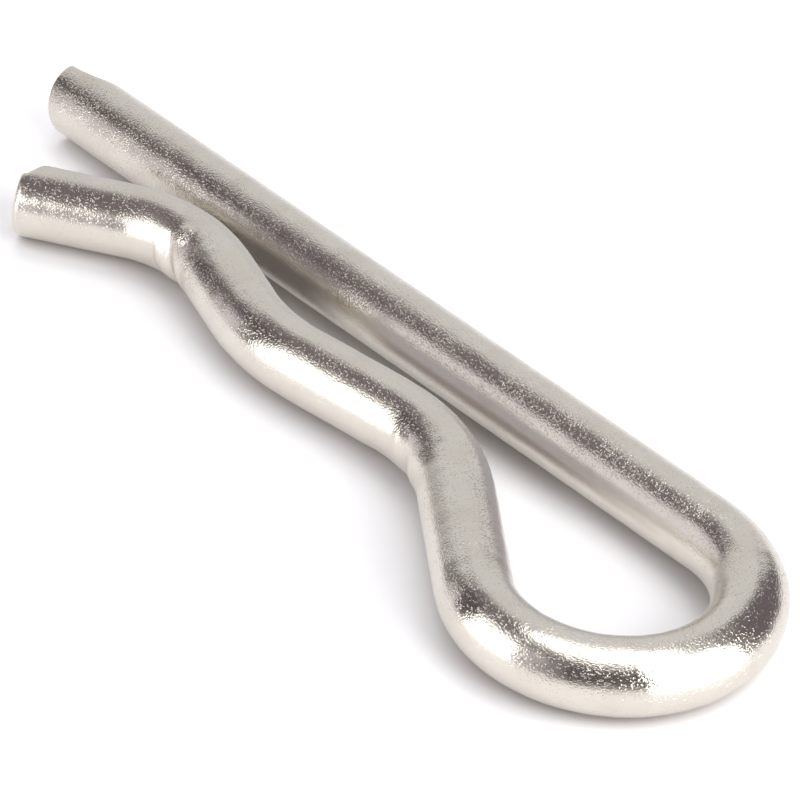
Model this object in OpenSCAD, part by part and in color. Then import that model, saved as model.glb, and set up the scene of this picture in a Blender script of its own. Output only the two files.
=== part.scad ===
// Hitch R clip: one length of round spring wire with a straight leg, a round loop and a wavy spring leg.
// The wire's middle line lies in one level plane, so the clip rests flat on its side.

/* [Wire] */
// Diameter of the round wire
wire_d = 4; // [3.2:0.1:4.8]
// Diameter that the wire loses where it is bent
bend_thinning = 0.03; // [0.01:0.01:0.1]

/* [Straight leg] */
// Length of the straight leg along its middle, from the sheared end to the loop
leg_l = 49; // [40:0.5:60]
// Slant of the sheared end away from a square cut, in degrees
shear_slant = 15; // [0:1:25]
// Length of the flat that the shears pressed into the end
press_l = 2.6; // [1.5:0.1:4]
// Depth of that flat at the very end
press_depth = 0.45; // [0.1:0.05:0.8]
// Side that the shears came from, as an angle from straight up: outward on this leg, inward on the tail
press_side = 45; // [0:5:90]

/* [Loop] */
// Clear width across the loop
loop_clear = 9.7; // [8:0.1:12]
// Turn of the wire around the loop, in degrees
loop_turn = 217; // [214:0.5:220]

/* [Spring leg] */
// Clearance between the two legs where the second waist comes nearest
leg_gap = 0.2; // [0.1:0.05:1]
// Inside radius of the first waist, the bend next to the loop
waist_r = 7.3; // [6:0.1:9]
// Turn of the first waist, in degrees
waist_turn = 44; // [42:0.5:46]
// Straight stretch from the first waist out to the saddle
rise_l = 5.9; // [4.5:0.1:7.5]
// Inside radius of the saddle, the outward hump that sits around a pin
saddle_r = 9.7; // [8:0.1:12]
// Turn of the saddle, in degrees
saddle_turn = 27; // [25:0.5:29]
// Straight stretch from the saddle back to the second waist
fall_l = 3.8; // [3:0.1:5]
// Inside radius of the second waist
tail_r = 5.4; // [4.5:0.1:6.5]
// Turn of the second waist, in degrees
tail_turn = 52.5; // [46:0.5:58]
// Straight tail that flares away from the straight leg
tail_l = 5.7; // [4.5:0.1:7]
// Length cut off the upper corner of the tail's end
tail_nip = 0.7; // [0.2:0.1:1.2]

/* [Tool marks] */
// Width of the bending tool's nose
mark_d = 3; // [2:0.1:4]
// Depth that the nose bit into the hollow side of each waist
mark_depth = 0.2; // [0.05:0.05:0.4]
// Place of the mark on the first waist, as a share of its turn from the loop side
waist_mark_at = 0.55; // [0.3:0.05:0.7]
// Place of the mark on the second waist, as a share of its turn from the saddle side
tail_mark_at = 0.35; // [0.3:0.05:0.7]

/* [Hidden] */
$fn = 96;

LEFT = 1;
RIGHT = -1;
wire_r = wire_d / 2;

// Radii of the wire's middle line
loop_mid_r = loop_clear / 2 + wire_r;
waist_mid_r = waist_r + wire_r;
saddle_mid_r = saddle_r + wire_r;
tail_mid_r = tail_r + wire_r;

// Headings of the wire, in degrees to the right of the straight leg
after_waist = loop_turn - waist_turn;
after_saddle = after_waist + saddle_turn;

// The throat joins the loop to the first waist. Its length brings the second waist to leg_gap
// from the straight leg, whatever the loop and the bends are.
across_loop = loop_mid_r * (1 - cos(loop_turn));
across_waist = waist_mid_r * (cos(loop_turn) - cos(after_waist));
across_rise = -rise_l * sin(after_waist);
across_saddle = saddle_mid_r * (cos(after_saddle) - cos(after_waist));
across_fall = -fall_l * sin(after_saddle);
across_tail = tail_mid_r * (1 + cos(after_saddle));
across_waves = across_waist + across_rise + across_saddle + across_fall + across_tail;
throat_l = (across_loop - across_waves - wire_d - leg_gap) / -sin(loop_turn);

// The origin is under the middle of the clip's box
tip_x = -leg_l - (wire_r - press_depth) * tan(shear_slant);
loop_end_x = loop_mid_r + wire_r - bend_thinning / 2;
middle_x = (tip_x + loop_end_x) / 2;

// A bent stretch reaches this far into the straight ones on either side of it
lap = 0.1;

// Larger than any cut
reach = 4 * wire_d;

// A straight stretch along +X, with what follows it
module straight(length) {
    rotate([0, 90, 0]) cylinder(d = wire_d, h = length);
    translate([length, 0, 0]) children();
}

// Places its children at the end of a bend
module past_bend(side, mid_r, turn) {
    translate([0, side * mid_r, 0]) rotate([0, 0, side * turn]) translate([0, -side * mid_r, 0]) children();
}

// A bend, with what follows it
module bend(side, mid_r, turn) {
    lap_turn = lap / mid_r * 180 / PI;
    translate([0, side * mid_r, 0]) mirror([0, side == LEFT ? 0 : 1, 0])
        rotate([0, 0, -90 - lap_turn])
            rotate_extrude(angle = turn + 2 * lap_turn) translate([mid_r, 0]) circle(d = wire_d - bend_thinning);
    past_bend(side, mid_r, turn) children();
}

// The nose of the bending tool, standing across the hollow side of a bend to the left
module nose(mid_r, turn) {
    past_bend(LEFT, mid_r, turn)
        translate([0, wire_r - mark_depth + mark_d / 2, 0])
            cylinder(d = mark_d, h = 2 * wire_d, center = true);
}

// A waist is a bend to the left with the tool's mark in its hollow side
module waist(mid_r, turn, mark_at) {
    difference() {
        bend(LEFT, mid_r, turn);
        nose(mid_r, mark_at * turn);
    }
    past_bend(LEFT, mid_r, turn) children();
}

// The slanted cut and the pressed flat at the straight leg's free end
module shear_cuts() {
    press_angle = atan(press_depth / press_l);
    rotate([-press_side, 0, 0]) {
        rotate([0, -shear_slant, 0]) translate([-reach, -reach, -reach]) cube([reach, 2 * reach, 2 * reach]);
        translate([press_l, 0, wire_r]) rotate([0, -press_angle, 0])
            translate([-reach, -wire_d, 0]) cube([reach, 2 * wire_d, wire_d]);
    }
}

// The diagonal cut that takes the upper inner corner off the tail's end
module nip_cut() {
    rotate([press_side, 0, 0])
        translate([tail_l - tail_nip, 0, wire_r]) rotate([0, 45, 0])
            translate([-wire_d, -wire_d, 0]) cube([2 * wire_d, 2 * wire_d, wire_d]);
}

module straight_leg() {
    spare = wire_d;
    difference() {
        translate([-spare, 0, 0]) straight(leg_l + spare);
        shear_cuts();
    }
    translate([leg_l, 0, 0]) children();
}

module tail() {
    difference() {
        straight(tail_l);
        nip_cut();
    }
}

module wire() {
    color("silver")
        translate([-leg_l - middle_x, loop_mid_r, wire_r])
            straight_leg()
            bend(RIGHT, loop_mid_r, loop_turn)
            straight(throat_l)
            waist(waist_mid_r, waist_turn, waist_mark_at)
            straight(rise_l)
            bend(RIGHT, saddle_mid_r, saddle_turn)
            straight(fall_l)
            waist(tail_mid_r, tail_turn, tail_mark_at)
            tail();
}

wire();
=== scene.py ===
"""Hitch R clip: one length of nickel-plated spring wire on a white floor, under soft studio light."""
import math

import bpy
import numpy as np
from mathutils import Matrix, Vector


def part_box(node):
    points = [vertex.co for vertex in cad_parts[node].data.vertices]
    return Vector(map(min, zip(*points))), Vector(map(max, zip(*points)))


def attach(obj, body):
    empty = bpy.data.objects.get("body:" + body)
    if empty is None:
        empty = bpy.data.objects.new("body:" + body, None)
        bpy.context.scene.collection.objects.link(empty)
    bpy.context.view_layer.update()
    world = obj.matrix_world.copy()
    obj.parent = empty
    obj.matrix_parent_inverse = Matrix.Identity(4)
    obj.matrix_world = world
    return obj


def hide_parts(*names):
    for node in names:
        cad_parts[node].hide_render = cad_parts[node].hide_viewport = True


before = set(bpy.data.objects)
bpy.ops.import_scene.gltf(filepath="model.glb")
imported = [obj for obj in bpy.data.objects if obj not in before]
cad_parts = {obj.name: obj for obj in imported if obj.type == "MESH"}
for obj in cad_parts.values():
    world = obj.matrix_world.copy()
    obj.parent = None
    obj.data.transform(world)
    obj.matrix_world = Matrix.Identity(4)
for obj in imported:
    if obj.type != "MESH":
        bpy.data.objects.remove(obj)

bl_info = {
    "name": "Hitch R Clip",
    "version": (1, 0, 0),
    "blender": (4, 5, 0),
    "location": "View3D > Sidebar > Hitch Clip",
    "description": "Makes a hitch R clip from bent round wire, with its plated finish and a small studio",
    "category": "Add Mesh",
}

MM = 0.001
TURN = 2 * math.pi

NODE = "wire"
BODY = "root"
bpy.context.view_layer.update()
WIRE_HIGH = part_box(NODE)[1]

# The surface's grid: points around the wire, spacing of its rings away from the fine stretches, and the samples that
# the rings are placed by
AROUND = 120
RING_SPACING = 0.24 * MM
RING_SAMPLES = 6000

# Where the rings stand closer, in millimetres: distance along the wire, half width of the stretch and ring spacing.
# None stands for the end of the tail.
FINE_STRETCHES = [(0, 1.6, 0.08), (None, 1.0, 0.08), (87.2, 2.0, 0.08), (107.4, 2.6, 0.07), (62, 11, 0.3)]

# Step of the middle line, and how far it runs on past both ends
LINE_STEP = 0.02 * MM
LINE_SPARE = 4 * MM

# The ends: radius of each rim, rings around a rim, shares of the radius of the flat rings, how far the middle of an end
# stands out, and how far the tail runs on past its own length
LEG_RIM, TAIL_RIM = 0.16 * MM, 0.34 * MM
RIM_RINGS = 8
FLAT_SHARES = (0.93, 0.82, 0.68, 0.5, 0.3, 0.12)
DOME = 0.05 * MM
TAIL_EXTRA = 0.17 * MM

# The sheared end stands out by a part of a millimetre, leans by another toward a side, and is square past the reach
LEAN_OUT, LEAN, LEAN_SIDE, LEAN_REACH = 0.25, 0.45, 70, 2.5 * MM

# The pressed flat: its side, its depth, the distances between which it runs out, and a dip across it
PRESS_SIDE, PRESS_DEPTH, PRESS_RUN = 48, 0.46 * MM, (0.2 * MM, 2.2 * MM)
PRESS_DIP, PRESS_DIP_AT, PRESS_DIP_WIDTH = 0.06 * MM, 1.3 * MM, 0.45 * MM

# The nipped corner: its side, and how far before the tail's end it starts
NIP_SIDE, NIP_LENGTH = 122, 0.72 * MM

# Rounding where a cut meets the wire: how far the cut is set out, and the width that it is rounded over
CUT_OUT, PRESS_ROUND, NIP_ROUND = 0.03 * MM, 0.12 * MM, 0.08 * MM
LEAST_COSINE = 0.12

# How much less the whole surface's radius is than the wire's, and the height of its ripple
SKIN, RIPPLE = 0.004 * MM, 0.0035 * MM

# Bites of the tools. A bite's middle is a distance along the wire plus a skew times the sine of the angle around it.
FIRST_BITE, FIRST_SKEW = 86.25 * MM, 0.1 * MM
SECOND_BITE, SECOND_SKEW = 107.15 * MM, 0.95 * MM

# The flat-bottomed press at the first bite: height, the distances from the bite where it starts and stops, in
# millimetres, and the degrees around the wire where it starts and stops
PRESS = (-0.06, (-1.0, -0.35), (0.1, 1.2), (-80, -30), (15, 50))

# Ridges and hollows at the bites: height, place from the bite and half width, in millimetres, and the degrees around
# the wire where each starts and stops
FIRST_RIDGES = [(0.035, -1.25, 0.3, (-70, -30), (0, 30))]
SECOND_RIDGES = [(-0.16, 0, 0.5, (-85, -35), (20, 56)), (0.05, 1.0, 0.5, (-75, -35), (0, 40)),
                 (0.05, -1.0, 0.42, (-75, -35), (0, 40))]

# Two fine creases toward the tail, on an arc: its place and depth in millimetres, and its angle in radians
CREASE_AT, CREASE_SAG, CREASE_ANGLE = 108.85 * MM, 0.7 * MM, 0.25
CREASES = [(-0.022, 0, 0.17, (-55, -30), (4, 26)), (0.015, -0.42, 0.22, (-55, -30), (4, 26))]

# The nub that the fold raised, then pits: height and place along the wire in millimetres, side in degrees, size
SPOTS = [(0.2, 106.85, 57, 0.42), (-0.035, 106.65, 62, 0.12), (-0.035, 106.95, 48, 0.11), (-0.03, 107.15, 60, 0.11),
         (-0.02, 106.55, 51, 0.08), (-0.07, 105.0, 24, 0.17), (-0.03, 104.5, 14, 0.14), (-0.02, 79.1, 20, 0.09),
         (-0.012, 78.2, 8, 0.1)]

# Crushed grain: share, place along the wire in millimetres, side in degrees, size
BRUISES = [(1.0, 106.9, 54, 0.5), (0.5, 105.0, 24, 0.3)]

# Shares of the grain's roll and pits: around the loop, more on the straight leg, less on the tail. The leg's share
# runs out and the tail's sets in between these distances.
ROLL_SHARES, PIT_SHARES, POLE_SHARE = (0.42, 0.4, 0.08), (0.8, 0.4), 0.5
LEG_FADE, TAIL_FADE = (40 * MM, 52 * MM), (105 * MM, 112 * MM)
POLE_OUT = 0.01 * MM


def length(name, description, default_mm, low_mm=0.0):
    """A size property, given here in millimetres and kept in metres."""
    return bpy.props.FloatProperty(
        name=name, description=description, default=default_mm * MM, min=low_mm * MM,
        unit="LENGTH", precision=5)


def angle(name, description, default_deg):
    """An angle property, given here in degrees and kept in radians."""
    return bpy.props.FloatProperty(
        name=name, description=description, default=math.radians(default_deg), subtype="ANGLE")


class WireSizes(bpy.types.PropertyGroup):
    """Sizes of the bent wire, the same as the CAD part's. The easing is not in the CAD part."""
    wire_d: length("Wire diameter", "Diameter of the round wire", 4.0, 0.5)
    thinning: length("Bend thinning", "Diameter the wire loses where it is bent", 0.03)
    leg_l: length("Straight leg", "Length of the straight leg along its middle", 49.0)
    loop_r: length("Loop radius", "Middle radius of the loop", 6.85)
    loop_turn: angle("Loop turn", "Turn of the wire around the loop", 217)
    throat_l: length("Throat", "Straight stretch from the loop to the first waist", 7.763)
    waist_r: length("First waist radius", "Middle radius of the first waist", 9.3)
    waist_turn: angle("First waist turn", "Turn of the first waist", 44)
    rise_l: length("Rise", "Straight stretch from the first waist out to the saddle", 5.9)
    saddle_r: length("Saddle radius", "Middle radius of the saddle", 11.7)
    saddle_turn: angle("Saddle turn", "Turn of the saddle", 27)
    fall_l: length("Fall", "Straight stretch from the saddle to the second waist", 3.8)
    tail_r: length("Second waist radius", "Middle radius of the second waist", 7.4)
    tail_turn: angle("Second waist turn", "Turn of the second waist", 52.5)
    tail_l: length("Tail", "Straight tail that flares away from the straight leg", 5.7)
    ease: length("Bend easing", "Length over which a bend starts or stops", 0.8)


class PlateFinish(bpy.types.PropertyGroup):
    """Colour and grain of the nickel plate."""
    colour: bpy.props.FloatVectorProperty(
        name="Plate colour", description="Base colour of the plate", subtype="COLOR", size=3, min=0, max=1,
        default=(0.78, 0.74, 0.67))
    stain_colour: bpy.props.FloatVectorProperty(
        name="Stain colour", description="Colour of the plate where it is slightly stained", subtype="COLOR", size=3,
        min=0, max=1, default=(0.74, 0.69, 0.62))
    roughness: bpy.props.FloatProperty(
        name="Roughness", description="Roughness of the plate between its grains", subtype="FACTOR", default=0.16,
        min=0, max=1)
    smear: bpy.props.FloatProperty(
        name="Smear", description="How far the draw lines smear a reflection around the wire", subtype="FACTOR",
        default=0.9, min=0, max=1)
    grain: length("Grain size", "Width of one grain of the plate", 0.12, 0.01)
    grain_roll: length("Grain roll", "Height of the fine roll of the surface", 0.030)
    grain_pits: length("Pit depth", "Depth of the scattered pits", 0.010)
    draw_lines: length("Draw lines", "Height of the faint lines along the wire", 0.006)
    bruise: length("Bruise", "Height of the crushed grain where the tools bit", 0.18)


class StudioSettings(bpy.types.PropertyGroup):
    """Colour of the floor, and the camera."""
    floor_colour: bpy.props.FloatVectorProperty(
        name="Floor", description="Colour of the floor", subtype="COLOR", size=3,
        default=(0.93, 0.93, 0.955), min=0, max=1)
    camera_place: bpy.props.FloatVectorProperty(
        name="Camera place", description="Where the camera stands", subtype="TRANSLATION", size=3,
        default=(0.14643, -0.14794, 0.15585))
    camera_aim: bpy.props.FloatVectorProperty(
        name="Camera aim", description="Point that the camera looks at", subtype="TRANSLATION", size=3,
        default=(0.00262, 0.00219, 0.002))
    camera_roll: angle("Camera roll", "Turn of the camera about its own line of sight", 5.30)
    lens: bpy.props.FloatProperty(
        name="Lens", description="Focal length on a 36 mm sensor, in millimetres", default=226.4)


# ---------------------------------------------------------------- shapes

def smooth(a, b, t):
    """Rises from 0 at a to 1 at b along the cubic 3t2 - 2t3, flat at both ends."""
    u = np.clip((t - a) / (b - a), 0.0, 1.0)
    return u * u * (3 - 2 * u)


def bump(t, middle, half_width):
    """Bell of height 1: the exponential of minus the squared distance from middle, in half widths."""
    return np.exp(-((t - middle) / half_width) ** 2)


def soft_min(a, b, k):
    """The smaller of a and b, rounded over a width k where they meet: half of a + b less the root of (a - b)2 + k2."""
    return 0.5 * (a + b - np.sqrt((a - b) ** 2 + k * k))


def middle_line(w, end_x, leg_y):
    """Plan of the wire's middle line. The heading is a straight-line function of the distance along the wire between
    the ends of the stretches. It is averaged over the easing length. The sums of its cosine and sine are x and y.
    Returns distance, x, y and heading on a fine even grid that runs on past both ends, and the stretches' ends."""
    stretches = np.array([
        (w.leg_l, 0), (w.loop_r * w.loop_turn, -w.loop_turn), (w.throat_l, 0),
        (w.waist_r * w.waist_turn, w.waist_turn), (w.rise_l, 0),
        (w.saddle_r * w.saddle_turn, -w.saddle_turn), (w.fall_l, 0),
        (w.tail_r * w.tail_turn, w.tail_turn), (w.tail_l, 0)])
    ends = np.concatenate([[0], np.cumsum(stretches[:, 0])])
    headings = np.concatenate([[0], np.cumsum(stretches[:, 1])])
    s = np.arange(-LINE_SPARE, ends[-1] + LINE_SPARE, LINE_STEP)
    area = np.cumsum(np.interp(s, ends, headings)) * LINE_STEP
    half = w.ease / 2
    heading = (np.interp(s + half, s, area) - np.interp(s - half, s, area)) / w.ease
    inside = (s > s[0] + half) & (s < s[-1] - half)
    s, heading = s[inside], heading[inside]
    x, y = np.cumsum(np.cos(heading)) * LINE_STEP, np.cumsum(np.sin(heading)) * LINE_STEP
    x += end_x - np.interp(w.leg_l, s, x)
    y += leg_y - np.interp(0, s, y)
    return s, x, y, heading, ends


def ring_places(first, last, fine_spots):
    """Distances along the wire at which rings of points stand. They are closest near the fine spots: the count of
    rings per length is a base rate plus a bell at each spot, and its running sum is stepped evenly."""
    s = np.linspace(first, last, RING_SAMPLES)
    rate = np.full_like(s, 1 / RING_SPACING)
    for place, half_width, spacing in fine_spots:
        rate += bump(s, place, half_width) / spacing
    count = np.concatenate([[0], np.cumsum((rate[1:] + rate[:-1]) / 2 * np.diff(s))])
    return np.interp(np.linspace(0, count[-1], int(count[-1]) + 1), count, s)


def window(phi, low, high):
    """1 between the angles low[1] and high[0], and 0 outside low[0] and high[1], with smooth steps between, each as in
    smooth. All in degrees."""
    deg = np.degrees(phi)
    return smooth(low[0], low[1], deg) * (1 - smooth(high[0], high[1], deg))


def spot(s, phi, r0, place, side, size):
    """Round bell of height 1 on the surface: the exponential of minus the squared distance from place and side, in
    sizes. The distance is taken along the wire and around it."""
    around = r0 * (phi - math.radians(side))
    return np.exp(-((s - place) ** 2 + around ** 2) / size ** 2)


def ridges(s, phi, middle, rows):
    """Sum of ridges across the wire: each is a height times a bell along the wire times a window around it."""
    return sum(height * MM * bump(s, middle + off * MM, half_width * MM) * window(phi, low, high)
               for height, off, half_width, low, high in rows)


def tool_marks(s, phi, r0):
    """Change of radius where the bending tools pinched the two waists: sums of bells and smooth steps."""
    # first waist: a shallow flat-bottomed press, with a raised lip on the side of the throat
    middle = FIRST_BITE + FIRST_SKEW * np.sin(phi)
    height, start, stop, low, high = PRESS
    along = (s - middle) / MM
    change = height * MM * smooth(*start, along) * (1 - smooth(*stop, along)) * window(phi, low, high)
    change += ridges(s, phi, middle, FIRST_RIDGES)
    # second waist: a deeper fold, lips on both sides, then two fine creases toward the tail
    change += ridges(s, phi, SECOND_BITE + SECOND_SKEW * np.sin(phi), SECOND_RIDGES)
    change += ridges(s, phi, CREASE_AT - CREASE_SAG * np.clip(phi - CREASE_ANGLE, -1, 1) ** 2, CREASES)
    for height, place, side, size in SPOTS:
        change += height * MM * spot(s, phi, r0, place * MM, side, size * MM)
    return change


def ripple(s, phi):
    """Slight unevenness of hand-set wire: a sum of sines of distance in millimetres and angle, a few thousandths of a
    millimetre high."""
    t = s / MM
    return RIPPLE * (np.sin(1.9 * t + 2 * phi) + 0.8 * np.sin(3.3 * t - 3 * phi + 1.0)
                     + 0.6 * np.sin(5.1 * t + 5 * phi + 2.1) + 0.5 * np.sin(8.3 * t - 4 * phi + 0.4))


def wire_surface(w, s, phi, ends):
    """Radius of the wire at distance s and angle phi, where 0 is left of travel and a quarter turn is up.
    A round section, slightly thinner in the bends, changed by the marks of the tools. Each flat cut is a distance over
    the cosine of the angle from its side, and joins the round by soft_min."""
    r0 = w.wire_d / 2
    half = w.ease / 2
    bends = np.zeros_like(s)
    for i in (1, 3, 5, 7):
        bends = np.maximum(bends, smooth(ends[i] - half, ends[i] + half, s)
                           * (1 - smooth(ends[i + 1] - half, ends[i + 1] + half, s)))
    # a bend loses more on its inner and outer sides than above and below
    r = r0 - bends * w.thinning / 2 * (1 + 0.6 * np.cos(phi) ** 2) + ripple(s, phi) - SKIN + tool_marks(s, phi, r0)
    # the flat that the shears pressed on the upper back of the straight leg's end
    depth = PRESS_DEPTH * (1 - smooth(*PRESS_RUN, s)) + PRESS_DIP * bump(s, PRESS_DIP_AT, PRESS_DIP_WIDTH)
    pressed = (r0 - depth) / np.clip(np.cos(phi - math.radians(PRESS_SIDE)), LEAST_COSINE, 1)
    r = soft_min(r, pressed + CUT_OUT, PRESS_ROUND)
    # the corner nipped off the tail
    past = s - (ends[-1] - NIP_LENGTH)
    nipped = (r0 - np.clip(past, -1, None)) / np.clip(np.cos(phi - math.radians(NIP_SIDE)), LEAST_COSINE, 1)
    return soft_min(r, nipped + CUT_OUT, NIP_ROUND)


def end_cap(rim_size):
    """The rings that close an end, from the wire inward: how far each shrinks, its share of the radius and how far out
    it lies. Around the rim they shrink by its size times one less the cosine of the angle and lie out by its size times
    the sine. The flat rings take falling shares and stand out by the dome times one less the square of the share."""
    rim = np.radians(np.linspace(0, 90, RIM_RINGS)[1:])
    flat = np.array(FLAT_SHARES)
    shrink = np.concatenate([rim_size * (1 - np.cos(rim)), np.full(len(flat), rim_size)])
    share = np.concatenate([np.ones(len(rim)), flat])
    out = np.concatenate([rim_size * np.sin(rim), rim_size + DOME * (1 - flat ** 2)])
    return shrink, share, out


def grain_shares(s, turn, along, r0):
    """Shares of the grain's roll, its pits and the crushed grain: sums of smooth steps along the wire and of spots."""
    on_leg, on_tail = 1 - smooth(*LEG_FADE, along), smooth(*TAIL_FADE, along)
    bruise = sum(share * spot(s, turn, r0, place * MM, side, size * MM) for share, place, side, size in BRUISES)
    roll = ROLL_SHARES[0] + ROLL_SHARES[1] * on_leg - ROLL_SHARES[2] * on_tail
    return np.stack([roll, PIT_SHARES[0] + PIT_SHARES[1] * on_leg, bruise], axis=-1)


def closed_grid(rings):
    """Faces of a closed grid of rings, with a pole before the first ring and one past the last. Point i, j has the
    number i times AROUND plus j, and the poles come after all the rings."""
    i, j = np.meshgrid(np.arange(rings - 1), np.arange(AROUND), indexing="ij")
    k = (j + 1) % AROUND
    quads = np.stack([i * AROUND + j, i * AROUND + k, (i + 1) * AROUND + k, (i + 1) * AROUND + j], axis=-1)
    j = np.arange(AROUND)
    k = (j + 1) % AROUND
    first, last = rings * AROUND, rings * AROUND + 1
    near = np.stack([np.full(AROUND, first), k, j], axis=-1)
    far = np.stack([np.full(AROUND, last), (rings - 1) * AROUND + j, (rings - 1) * AROUND + k], axis=-1)
    return quads.reshape(-1, 4).tolist() + near.tolist() + far.tolist()


def build_wire(w):
    """The whole wire as one closed grid. A point stands at the middle line plus its radius times the cosine of phi to
    the left and the sine of phi upward, plus a lean along the wire near the sheared end. The ends close with rings that
    turn in around a rounded rim and shrink to a point. Each point keeps three vectors for the finish: where it would
    stand if the wire were straight, the direction around the wire, and the grain's shares."""
    r0 = w.wire_d / 2
    end_x = WIRE_HIGH.x - (w.loop_r + r0 - w.thinning / 2)
    leg_y = WIRE_HIGH.y - r0
    line_s, line_x, line_y, line_h, ends = middle_line(w, end_x, leg_y)
    spots = [(ends[-1] if place is None else place * MM, half_width * MM, spacing * MM)
             for place, half_width, spacing in FINE_STRETCHES]
    places = ring_places(LEG_RIM, ends[-1] + TAIL_EXTRA - TAIL_RIM, spots)

    leg_cap, tail_cap = end_cap(LEG_RIM), end_cap(TAIL_RIM)
    n_cap = len(leg_cap[0])
    none = np.zeros(len(places))
    ring_s = np.concatenate([np.full(n_cap, places[0]), places, np.full(n_cap, places[-1])])
    shrink = np.concatenate([leg_cap[0][::-1], none, tail_cap[0]])
    share = np.concatenate([leg_cap[1][::-1], none + 1, tail_cap[1]])
    out = np.concatenate([-leg_cap[2][::-1], none, tail_cap[2]])

    phi = np.linspace(0, TURN, AROUND, endpoint=False)
    S, PHI = np.meshgrid(ring_s, phi, indexing="ij")
    turn = np.where(PHI > math.pi * 1.5, PHI - TURN, PHI)
    R = (wire_surface(w, S, turn, ends) - shrink[:, None]) * share[:, None]
    # the sheared end leans out toward its upper back
    tilt = LEAN_OUT + LEAN * np.cos(PHI - math.radians(LEAN_SIDE)) * R / r0
    A = S + out[:, None] - MM * tilt * (1 - smooth(0, LEAN_REACH, S))
    x, y, h = (np.interp(A, line_s, line) for line in (line_x, line_y, line_h))
    left, up = np.cos(PHI) * R, np.sin(PHI) * R
    points = np.stack([x - np.sin(h) * left, y + np.cos(h) * left, r0 + up], axis=-1)
    straight = np.stack([left, up, A], axis=-1)
    around = np.stack([np.sin(h) * np.sin(PHI), -np.cos(h) * np.sin(PHI), np.cos(PHI)], axis=-1)

    poles = np.array([A[0].mean() - POLE_OUT, A[-1].mean() + POLE_OUT])
    pole_points = np.stack([np.interp(poles, line_s, line_x), np.interp(poles, line_s, line_y), [r0, r0]], axis=-1)
    verts = np.concatenate([points.reshape(-1, 3), pole_points])
    mesh = bpy.data.meshes.new("plated_wire")
    mesh.from_pydata(verts.tolist(), [], closed_grid(len(ring_s)))
    for name, values, at_poles in (
            ("straight", straight, [(0, 0, a) for a in poles]),
            ("around", around, [(0, 0, 1)] * 2),
            ("grain_shares", grain_shares(S, turn, A, r0), np.full((2, 3), POLE_SHARE))):
        whole = np.concatenate([values.reshape(-1, 3), at_poles]).astype(np.float32)
        mesh.attributes.new(name, "FLOAT_VECTOR", "POINT").data.foreach_set("vector", whole.ravel())
    mesh.polygons.foreach_set("use_smooth", np.ones(len(mesh.polygons), bool))
    mesh.update()
    return mesh


# ---------------------------------------------------------------- finishes

def node(tree, kind, links=None, **settings):
    """Adds a node, sets its own settings, then sets or links its inputs."""
    made = tree.nodes.new(kind)
    for key, value in settings.items():
        setattr(made, key, value)
    for key, value in (links or {}).items():
        socket = made.inputs[key]
        if isinstance(value, bpy.types.NodeSocket):
            tree.links.new(value, socket)
        else:
            socket.default_value = value
    return made


def maths(tree, operation, *values):
    """The result of a math node on numbers or sockets."""
    return node(tree, "ShaderNodeMath", dict(enumerate(values)), operation=operation).outputs[0]


def noise(tree, vector, scale, detail, roughness=0.5):
    """The value of a noise of this scale."""
    return node(tree, "ShaderNodeTexNoise", {"Vector": vector, "Scale": scale, "Detail": detail,
                                             "Roughness": roughness}).outputs["Fac"]


def ramp(tree, value, start, end, low=0.0, high=1.0, kind="LINEAR"):
    """Goes from low to high as value goes from start to end, and stays there outside them."""
    return node(tree, "ShaderNodeMapRange", {"Value": value, "From Min": start, "From Max": end, "To Min": low,
                                             "To Max": high}, interpolation_type=kind).outputs[0]


def blend(tree, share, low, high):
    """A colour that goes from low to high as share goes from 0 to 1."""
    mix = node(tree, "ShaderNodeMix", {"Factor": share}, data_type="RGBA", blend_type="MIX")
    mix.inputs["A"].default_value = (*low, 1)
    mix.inputs["B"].default_value = (*high, 1)
    return mix.outputs["Result"]


def attribute(tree, name):
    """A vector that each point of the mesh keeps."""
    return node(tree, "ShaderNodeAttribute", attribute_name=name, attribute_type="GEOMETRY").outputs["Vector"]


def empty_material(name):
    """A material with no nodes yet, and its tree."""
    mat = bpy.data.materials.new(name)
    mat.use_nodes = True
    mat.node_tree.nodes.clear()
    return mat, mat.node_tree


def group(name, inputs, outputs):
    """A shader node group with float or vector inputs, given as name: default, and float outputs, given by name."""
    tree = bpy.data.node_groups.new(name, "ShaderNodeTree")
    for key, default in inputs.items():
        kind = "NodeSocketVector" if default is None else "NodeSocketFloat"
        socket = tree.interface.new_socket(name=key, in_out="INPUT", socket_type=kind)
        if default is not None:
            socket.default_value = default
    for key in outputs:
        tree.interface.new_socket(name=key, in_out="OUTPUT", socket_type="NodeSocketFloat")
    return tree, tree.nodes.new("NodeGroupInput").outputs, tree.nodes.new("NodeGroupOutput").inputs


# The grain: how far the pits' noise stands from the roll's, the scales of the pits and of the broad patches as shares
# of the grain's, the limit that makes a pit, the width of its edge, and the patches' noise and strength ranges
PITS_APART = (0.013, 0.029, 0.041)
PIT_SCALE, PATCH_SCALE = 0.8, 0.07
PIT_LIMIT, PIT_EDGE = 0.58, 0.12
PATCH_NOISE, PATCH_STRENGTH = (0.3, 0.7), (0.55, 1.35)

# The plate: squeeze of the grain around the wire, stretch and width of the draw lines, width of the crushed grain and
# of a stain, and the ranges of the stains' noise that colour and dull the plate, with the roughness that they reach
GRAIN_SQUEEZE, LINE_STRETCH = 1.35, 60
LINE_WIDTH, CRUSHED_WIDTH, STAIN_WIDTH = 0.22 * MM, 0.16 * MM, 2.4 * MM
STAIN_COLOURS, STAIN_DULLS, DULL_RANGE = (0.35, 0.7), (0.3, 0.7), (0.85, 1.2)


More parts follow.
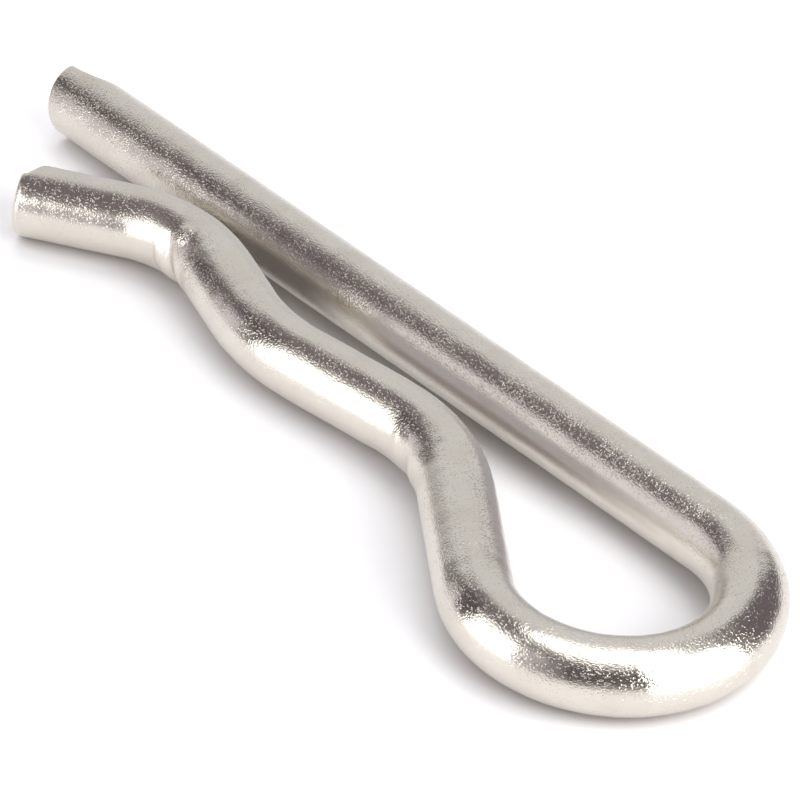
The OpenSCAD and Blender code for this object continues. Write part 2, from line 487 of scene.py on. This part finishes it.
def grain_group():
    """Plated grain in millimetres of height: a fine roll of the surface less scattered pits, both stronger in broad
    patches. The pits are where a noise passes a limit, rounded by a smooth step."""
    tree, into, out = group("plated_grain", {"Vector": None, "Size": 0.0001, "Roll": 0.1, "Pits": 0.1, "Limit": 0.62},
                            ["Height"])
    scale = maths(tree, "DIVIDE", 1.0, into["Size"])
    fine = noise(tree, into["Vector"], scale, 1.5)
    apart = node(tree, "ShaderNodeVectorMath", {0: into["Vector"], 1: PITS_APART}, operation="ADD").outputs["Vector"]
    spots = noise(tree, apart, maths(tree, "MULTIPLY", scale, PIT_SCALE), 1.0)
    pits = ramp(tree, spots, into["Limit"], maths(tree, "ADD", into["Limit"], PIT_EDGE), kind="SMOOTHSTEP")
    patches = noise(tree, into["Vector"], maths(tree, "MULTIPLY", scale, PATCH_SCALE), 2.0)
    share = ramp(tree, patches, *PATCH_NOISE, *PATCH_STRENGTH)
    roll, sunk = maths(tree, "MULTIPLY", fine, into["Roll"]), maths(tree, "MULTIPLY", pits, into["Pits"])
    tree.links.new(maths(tree, "MULTIPLY", maths(tree, "SUBTRACT", roll, sunk), share), out["Height"])
    return tree


def plate_material(f):
    """Nickel plate on drawn wire: a grain of small pits and peaks, faint draw lines along the wire, crushed grain where
    the tools bit, and soft stains. Heights are in millimetres, so the bump's distance is one millimetre."""
    mat, tree = empty_material("nickel plate")
    place = attribute(tree, "straight")
    share = node(tree, "ShaderNodeSeparateXYZ", {"Vector": attribute(tree, "grain_shares")}).outputs
    squeezed = node(tree, "ShaderNodeMapping", {"Vector": place, "Scale": (GRAIN_SQUEEZE, GRAIN_SQUEEZE, 1)})
    grain = node(tree, "ShaderNodeGroup", node_tree=grain_group())
    for key, value in (("Vector", squeezed.outputs["Vector"]),
                       ("Roll", maths(tree, "MULTIPLY", share["X"], f.grain_roll / MM)),
                       ("Pits", maths(tree, "MULTIPLY", share["Y"], f.grain_pits / MM))):
        tree.links.new(value, grain.inputs[key])
    grain.inputs["Size"].default_value = f.grain
    grain.inputs["Limit"].default_value = PIT_LIMIT
    # draw lines: noise stretched along the wire
    along = node(tree, "ShaderNodeMapping", {"Vector": place, "Scale": (1, 1, 1 / LINE_STRETCH)}).outputs["Vector"]
    lines = noise(tree, along, 1 / LINE_WIDTH, 3.0, 0.6)
    height = maths(tree, "MULTIPLY_ADD", lines, f.draw_lines / MM, grain.outputs["Height"])
    bitten = maths(tree, "MULTIPLY", noise(tree, place, 1 / CRUSHED_WIDTH, 1.0), share["Z"])
    whole = maths(tree, "MULTIPLY_ADD", bitten, f.bruise / MM, height)
    relief = node(tree, "ShaderNodeBump", {"Height": whole, "Distance": MM, "Strength": 1.0})
    # soft stains in colour and in roughness
    stain = noise(tree, place, 1 / STAIN_WIDTH, 4.0)
    bsdf = node(tree, "ShaderNodeBsdfPrincipled", {
        "Base Color": blend(tree, ramp(tree, stain, *STAIN_COLOURS), f.colour, f.stain_colour), "Metallic": 1.0,
        "Roughness": ramp(tree, stain, *STAIN_DULLS, f.roughness * DULL_RANGE[0], f.roughness * DULL_RANGE[1]),
        "Anisotropic": f.smear, "Tangent": attribute(tree, "around"), "Normal": relief.outputs["Normal"]})
    node(tree, "ShaderNodeOutputMaterial", {"Surface": bsdf.outputs["BSDF"]})
    return mat


# ---------------------------------------------------------------- studio

LILAC, WHITE, PALE = (1.0, 0.95, 1.0), (1.0, 0.995, 0.985), (0.995, 0.99, 1.0)
DARK, DUSK = (1.0, 0.86, 0.93), (1.0, 0.89, 0.88)

# Curved cards. Azimuths are in degrees anticlockwise from +X, elevations above the floor. The last two columns say
# whether a card lights the floor and whether the wire mirrors it.
CARDS = [
    # name, centre mm, distance mm, azimuths, elevations, colour, strength, feather of the four sides, lights, mirrored
    ("left_softbox", (0, 0, 0), 105, (-132.5, -88), (-1, 46), WHITE, 2.8, (0.08, 0.1, 0, 0.1), True, True),
    ("side_fade", (20, 0, 0), 106, (-104, -64), (1, 50), LILAC, 0.62, (0.06, 0.94, 0, 0.15), True, True),
    ("left_low", (-24, 7, 0), 60, (-150, -116), (-1, 40), LILAC, 0.75, (0.3, 0.3, 0, 0.3), True, True),
    ("right_softbox", (20, 0, 0), 160, (-20, 44), (-1, 52), WHITE, 5.6, (0.05, 0.06, 0, 0.1), True, True),
    ("right_top", (20, 0, 0), 162, (-20, 44), (44, 78), WHITE, 2.0, (0.05, 0.06, 0.1, 0), True, True),
    ("overhead_softbox", (22, -5, 0), 90, (0, 360), (65, 90), WHITE, 2.4, (0, 0, 0.1, 0), False, True),
    ("camera_side", (20, 0, 0), 108, (-97, -17), (1, 66), DARK, 0.09, (0.14, 0.08, 0.35, 0.25), True, True),
    ("overhead_dark", (-20, -5, 0), 140, (-224, -25), (48, 90), DARK, 0.185, (0.12, 0.12, 0.25, 0), True, True),
    ("left_dark", (0, 0, 0), 310, (180, 234), (0, 66), DARK, 0.10, (0.22, 0.25, 0.2, 0), True, True),
    ("right_dark", (0, 0, 0), 310, (48, 104), (-1, 56), DARK, 0.16, (0.1, 0.2, 0.15, 0.25), True, True),
    ("right_dark_high", (0, 0, 0), 305, (88, 114), (28, 60), DARK, 0.14, (0.3, 0.3, 0.3, 0.3), True, True),
    ("high_back", (0, 0, 0), 350, (85, 185), (49, 78), PALE, 2.7, (0, 0, 0, 0), True, False),
    ("backdrop", (0, 0, 0), 320, (95, 190), (-1, 64), PALE, 0.75, (0.1, 0.2, 0, 0.15), True, True),
    ("ceiling", (0, 0, 0), 340, (20, 200), (56, 84), PALE, 0.70, (0.2, 0.2, 0.2, 0.2), True, True),
]
CARD_GRID = (25, 17)

# Flat cards that stand between the legs and are seen only in the first mirror image. They are painted reflections: the
# dark ones put mirrored shade from between the legs onto the wire, the pale ones a dimmer mirrored light.
UPRIGHT_CARDS = [
    # name, start and end in the plan mm, low and high mm, colour, strength, feather of the four sides
    ("inner_pale", (22.5, 0.5), (-9, 0.5), 2.4, 9.5, LILAC, 0.86, (0.05, 0.12, 0, 0.25)),
    ("inner_dark", (22.5, 0.3), (-9, 0.3), 6.0, 15.0, DARK, 0.12, (0.05, 0.12, 0, 0.2)),
    ("saddle_dark", (-6, 0.5), (-18, 0.5), 4.1, 9.5, DARK, 0.25, (0.25, 0.35, 0, 0.3)),
    ("gap_dark", (-3, 4.78), (-15, 4.78), 0.1, 3.2, DUSK, 0.15, (0.45, 0.3, 0, 0.25)),
    ("gap_line", (22, 4.8), (-4, 4.8), 1.4, 2.8, DUSK, 0.32, (0.5, 0.15, 0.5, 0.5)),
    ("gap_middle", (22, 4.81), (-5, 4.81), 2.2, 3.1, LILAC, 0.46, (0.4, 0.2, 0.35, 0.35)),
    ("throat_grey", (4, 4.74), (19.5, 4.74), 0.1, 4.2, LILAC, 0.45, (0.3, 0.08, 0, 0.1)),
    ("wave_pale", (-32, 4.73), (8, 4.73), 0.1, 4.3, PALE, 0.68, (0.04, 0.15, 0, 0.1)),
]
# The ray that leaves the wire after one mirroring has depth 1
FIRST_MIRROR_DEPTH = 1.5
# Cards weaker than this are found by mirrored rays only, and are not sampled as lamps
LAMP_STRENGTH = 1

# The floor: half its width, how far it lies under the wire, and the reach and samples of its test for open air, which
# sets its painted shade. Clear goes from 0 to 1 between these shares of open air: at 0 the floor has its full painted
# shade, at 1 none. The pairs are what it has at 0 and what clear adds.
FLOOR_HALF, FLOOR_Z = 1.5, -0.01 * MM
AIR_REACH, AIR_SAMPLES, CLEAR_RANGE = 5 * MM, 8, (0.08, 0.56)
# Painted shade: the floor's colour where it is most shut in, as under the wire and between the legs
PAINTED_SHADE_COLOUR = (0.37, 0.33, 0.315)
CAMERA_SHADE, MIRRORED_SHADE = (0.36, 0.64), (0.7, 0.38)
# Half of what the wire mirrors of the floor is this glow, which the painted shade dims where the floor is shut in
MIRRORED_GLOW, MIRRORED_SHARE = (1.0, 0.98, 0.98, 1), 0.5
# The camera sees this much glow more, from the first strength at the first distance from the origin to the second
CAMERA_GLOW, GLOW_DISTANCES, GLOW_STRENGTHS = (0.98, 0.97, 1.0, 1), (22 * MM, 52 * MM), (0.09, 0.85)

# The room beyond the cards: colour and strength as the wire mirrors it, as it lights the floor, and as the camera
# sees it
ROOM_MIRRORED = {"Color": (1.0, 0.97, 0.96, 1), "Strength": 0.36}
ROOM_LIGHT = {"Color": (1, 0.97, 1.0, 1), "Strength": 0.15}
ROOM_SEEN = {"Color": (1, 1, 1, 1), "Strength": 1.0}

SENSOR_WIDTH, CLIP_START, CLIP_END = 36, 0.01, 10


def glow_material(name, colour, strength, feather, one_side=False):
    """A card's even glow. It fades to nothing over a share of the card's width at each of its four sides, given as
    start, end, bottom and top. A one-sided card shows only its front, and only to rays mirrored no more than once."""
    mat, tree = empty_material(name)
    surface = node(tree, "ShaderNodeEmission", {"Color": (*colour, 1), "Strength": strength}).outputs["Emission"]
    uv = node(tree, "ShaderNodeUVMap", uv_map="card")
    xy = node(tree, "ShaderNodeSeparateXYZ", {"Vector": uv.outputs["UV"]}).outputs
    sides = (("X", 0.0, 1), ("X", 1.0, -1), ("Y", 0.0, 1), ("Y", 1.0, -1))
    shares = [ramp(tree, xy[axis], edge, edge + inward * width, kind="SMOOTHSTEP")
              for (axis, edge, inward), width in zip(sides, feather) if width > 0]
    if one_side:
        back = node(tree, "ShaderNodeNewGeometry").outputs["Backfacing"]
        depth = node(tree, "ShaderNodeLightPath").outputs["Ray Depth"]
        shares += [maths(tree, "SUBTRACT", 1.0, back), maths(tree, "LESS_THAN", depth, FIRST_MIRROR_DEPTH)]
    if shares:
        share = shares[0]
        for other in shares[1:]:
            share = maths(tree, "MULTIPLY", share, other)
        clear = node(tree, "ShaderNodeBsdfTransparent")
        surface = node(tree, "ShaderNodeMixShader", {0: share, 1: clear.outputs[0], 2: surface}).outputs[0]
    node(tree, "ShaderNodeOutputMaterial", {"Surface": surface})
    if strength < LAMP_STRENGTH:
        mat.cycles.emission_sampling = "NONE"
    return mat


def hang(name, mesh, lights):
    """Puts a card into the studio. It is only seen in reflections, and lights the floor too if lights is true."""
    obj = bpy.data.objects.new(name, mesh)
    bpy.context.scene.collection.objects.link(obj)
    obj.visible_camera = False
    obj.visible_diffuse = lights
    obj.visible_shadow = False
    obj.visible_transmission = False
    return obj


def card(name, centre, distance, azimuth, elevation, colour, strength, feather, lights, mirrored):
    """A curved card: the part of a sphere about centre, between two azimuths and two elevations. Its points are the
    centre plus the distance times the cosine and sine of the azimuth, both times the cosine of the elevation, and the
    sine of the elevation."""
    u, v = np.meshgrid(*(np.linspace(0, 1, n) for n in CARD_GRID), indexing="ij")
    az = np.radians(azimuth[0] + (azimuth[1] - azimuth[0]) * u)
    el = np.radians(elevation[0] + (elevation[1] - elevation[0]) * v)
    unit = np.stack([np.cos(el) * np.cos(az), np.cos(el) * np.sin(az), np.sin(el)], -1)
    points = (np.array(centre) + distance * unit) * MM
    n, m = u.shape
    i, j = np.meshgrid(np.arange(n - 1), np.arange(m - 1), indexing="ij")
    faces = np.stack([i * m + j, i * m + j + 1, (i + 1) * m + j + 1, (i + 1) * m + j], -1).reshape(-1, 4)
    mesh = bpy.data.meshes.new(name)
    mesh.from_pydata(points.reshape(-1, 3).tolist(), [], faces.tolist())
    uv = np.stack([u, v], -1).reshape(-1, 2)[faces.ravel()]
    mesh.uv_layers.new(name="card").data.foreach_set("uv", uv.astype(np.float32).ravel())
    mesh.materials.append(glow_material(name, colour, strength, feather))
    hang(name, mesh, lights).visible_glossy = mirrored


def upright_card(name, start, end, low, high, colour, strength, feather):
    """A flat one-sided card standing between two points of the plan and two heights, in millimetres. It is a painted
    reflection, which only the wire's first mirror image shows.
    """
    verts = [(*start, low), (*end, low), (*end, high), (*start, high)]
    mesh = bpy.data.meshes.new(name)
    mesh.from_pydata([Vector(v) * MM for v in verts], [], [(0, 1, 2, 3)])
    mesh.uv_layers.new(name="card").data.foreach_set("uv", [0, 0, 1, 0, 1, 1, 0, 1])
    mesh.materials.append(glow_material(name, colour, strength, feather, one_side=True))
    hang(name, mesh, False)


def floor_material(floor_colour):
    """White paint with painted shade: its colour darkens where little open air is near, as under the wire and between
    the legs. The wire mirrors it as half paint and half a glow, which the painted shade dims too. To the camera it has
    a further glow, which rises with the distance from the origin and is dimmed by the painted shade."""
    mat, tree = empty_material("white floor")
    path = node(tree, "ShaderNodeLightPath").outputs
    air = node(tree, "ShaderNodeAmbientOcclusion", {"Distance": AIR_REACH}, samples=AIR_SAMPLES).outputs["AO"]
    # clear is 0 where the floor is most shut in and has its full painted shade, and 1 where it has none
    clear = ramp(tree, air, *CLEAR_RANGE)
    paint = node(tree, "ShaderNodeBsdfDiffuse", {"Color": blend(tree, clear, PAINTED_SHADE_COLOUR, floor_colour)})
    # painted shade in the glow that the wire mirrors
    shine = maths(tree, "MULTIPLY_ADD", clear, MIRRORED_SHADE[1], MIRRORED_SHADE[0])
    glow = node(tree, "ShaderNodeEmission", {"Color": MIRRORED_GLOW, "Strength": shine})
    share = maths(tree, "MULTIPLY", path["Is Glossy Ray"], MIRRORED_SHARE)
    both = node(tree, "ShaderNodeMixShader", {0: share, 1: paint.outputs[0], 2: glow.outputs[0]})
    where = node(tree, "ShaderNodeTexCoord").outputs["Object"]
    away = node(tree, "ShaderNodeVectorMath", {0: where}, operation="LENGTH").outputs["Value"]
    extra = ramp(tree, away, *GLOW_DISTANCES, *GLOW_STRENGTHS, kind="SMOOTHSTEP")
    # painted shade in the camera's glow too
    shade = maths(tree, "MULTIPLY_ADD", clear, CAMERA_SHADE[1], CAMERA_SHADE[0])
    lift = maths(tree, "MULTIPLY", maths(tree, "MULTIPLY", path["Is Camera Ray"], shade), extra)
    white = node(tree, "ShaderNodeEmission", {"Color": CAMERA_GLOW, "Strength": lift})
    whole = node(tree, "ShaderNodeAddShader", {0: both.outputs[0], 1: white.outputs[0]})
    node(tree, "ShaderNodeOutputMaterial", {"Surface": whole.outputs[0]})
    return mat


def make_floor(scene, floor_colour):
    """A flat square under the wire."""
    mesh = bpy.data.meshes.new("floor")
    corners = ((-1, -1), (1, -1), (1, 1), (-1, 1))
    mesh.from_pydata([(x * FLOOR_HALF, y * FLOOR_HALF, FLOOR_Z) for x, y in corners], [], [(0, 1, 2, 3)])
    mesh.materials.append(floor_material(floor_colour))
    floor = bpy.data.objects.new("floor", mesh)
    scene.collection.objects.link(floor)


def make_room(scene):
    """The room beyond the cards, which differs for mirrored rays, for the camera and for the rest."""
    world = bpy.data.worlds.new("studio")
    scene.world = world
    world.use_nodes = True
    tree = world.node_tree
    tree.nodes.clear()
    path = node(tree, "ShaderNodeLightPath").outputs
    mirrored, light, seen = (node(tree, "ShaderNodeBackground", room).outputs[0]
                             for room in (ROOM_MIRRORED, ROOM_LIGHT, ROOM_SEEN))
    unseen = node(tree, "ShaderNodeMixShader", {0: path["Is Glossy Ray"], 1: light, 2: mirrored}).outputs[0]
    whole = node(tree, "ShaderNodeMixShader", {0: path["Is Camera Ray"], 1: unseen, 2: seen})
    node(tree, "ShaderNodeOutputWorld", {"Surface": whole.outputs[0]})


def make_camera(scene, st):
    """The camera, aimed at a point and then rolled about its own line of sight."""
    data = bpy.data.cameras.new("camera")
    data.lens = st.lens
    data.sensor_width = SENSOR_WIDTH
    data.clip_start, data.clip_end = CLIP_START, CLIP_END
    cam = bpy.data.objects.new("camera", data)
    scene.collection.objects.link(cam)
    place, aim = Vector(st.camera_place), Vector(st.camera_aim)
    look = (aim - place).to_track_quat("-Z", "Y").to_matrix().to_4x4()
    cam.matrix_world = Matrix.Translation(place) @ look @ Matrix.Rotation(st.camera_roll, 4, "Z")
    scene.camera = cam


# ---------------------------------------------------------------- operators and panel

class HITCHCLIP_OT_wire(bpy.types.Operator):
    """Make the bent wire with its nickel plate"""
    bl_idname = "hitchclip.wire"
    bl_label = "Wire"

    def execute(self, context):
        mesh = build_wire(context.scene.hitch_clip_sizes)
        mesh.materials.append(plate_material(context.scene.hitch_clip_plate))
        obj = bpy.data.objects.new("bent_wire", mesh)
        context.scene.collection.objects.link(obj)
        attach(obj, BODY)
        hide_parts(NODE)
        return {"FINISHED"}


class HITCHCLIP_OT_studio(bpy.types.Operator):
    """Make the floor, the glowing cards, the room and the camera"""
    bl_idname = "hitchclip.studio"
    bl_label = "Studio"

    def execute(self, context):
        scene = context.scene
        settings = scene.hitch_clip_studio
        make_floor(scene, settings.floor_colour)
        for row in CARDS:
            card(*row)
        for row in UPRIGHT_CARDS:
            upright_card(*row)
        make_room(scene)
        make_camera(scene, settings)
        scene.view_settings.view_transform = "Standard"
        return {"FINISHED"}


class HITCHCLIP_PT_panel(bpy.types.Panel):
    """Lists the sizes, the finish and the studio"""
    bl_label = "Hitch R Clip"
    bl_idname = "HITCHCLIP_PT_panel"
    bl_space_type = "VIEW_3D"
    bl_region_type = "UI"
    bl_category = "Hitch Clip"

    def draw(self, context):
        for name, maker in (("hitch_clip_sizes", "hitchclip.wire"), ("hitch_clip_plate", None),
                            ("hitch_clip_studio", "hitchclip.studio")):
            box = self.layout.box()
            settings = getattr(context.scene, name)
            for key in settings.__annotations__:
                box.prop(settings, key)
            if maker:
                box.operator(maker)


CLASSES = (WireSizes, PlateFinish, StudioSettings, HITCHCLIP_OT_wire, HITCHCLIP_OT_studio, HITCHCLIP_PT_panel)


def register():
    """Registers the classes and gives the scene its three groups of settings."""
    for cls in CLASSES:
        bpy.utils.register_class(cls)
    bpy.types.Scene.hitch_clip_sizes = bpy.props.PointerProperty(type=WireSizes)
    bpy.types.Scene.hitch_clip_plate = bpy.props.PointerProperty(type=PlateFinish)
    bpy.types.Scene.hitch_clip_studio = bpy.props.PointerProperty(type=StudioSettings)


def unregister():
    """Takes the settings and the classes away again, in the other order."""
    del bpy.types.Scene.hitch_clip_studio
    del bpy.types.Scene.hitch_clip_plate
    del bpy.types.Scene.hitch_clip_sizes
    for cls in reversed(CLASSES):
        bpy.utils.unregister_class(cls)


def main():
    """Makes the wire and the studio."""
    register()
    bpy.ops.hitchclip.wire()
    bpy.ops.hitchclip.studio()


if __name__ == "__main__":
    main()
